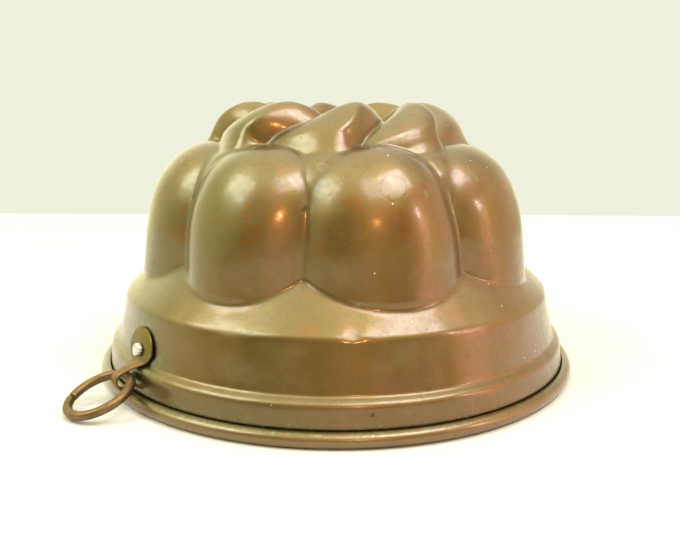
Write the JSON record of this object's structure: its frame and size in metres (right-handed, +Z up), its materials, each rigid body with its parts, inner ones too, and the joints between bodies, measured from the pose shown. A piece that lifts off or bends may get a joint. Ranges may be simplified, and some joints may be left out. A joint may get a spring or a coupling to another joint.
{
  "type": "bundt pan",
  "caption": "Tall lobed ring cake mould in thin copper with a twisted crown, wired rim, centre tube and a riveted hanging ring.",
  "frame": {"origin": "on the mould's own axis, in the plane the rim rests on", "axes": "+Z up along the mould's axis from the open rim towards the crown, -Y the front, hanging ring at the front left"},
  "size_m": [0.2, 0.2, 0.1089],
  "materials": {
    "copper_body": "brown patinated copper outside, dull tin lining inside",
    "rim_steel": "plain drawn wire, closed inside the rim roll",
    "tinned_tube": "tinned copper",
    "copper_strap": "brown patinated copper",
    "rivet_tin": "bright silver rivet head, hand set",
    "ring_copper": "brown patinated copper wire"
  },
  "bodies": {
    "mould": {"mould_body": "copper_body", "rim_wire": "rim_steel", "centre_tube": "tinned_tube", "hanger_strap": "copper_strap", "hanger_rivet": "rivet_tin"},
    "ring": {"hanging_ring": "ring_copper"}
  },
  "joints": [
    {"name": "ring_swing", "type": "hinge", "parent": "mould", "child": "ring", "pos_m": [-0.07599, -0.06109, 0.0107], "axis": [-0.6266, 0.7793, 0], "range_deg": [0, 128]}
  ]
}
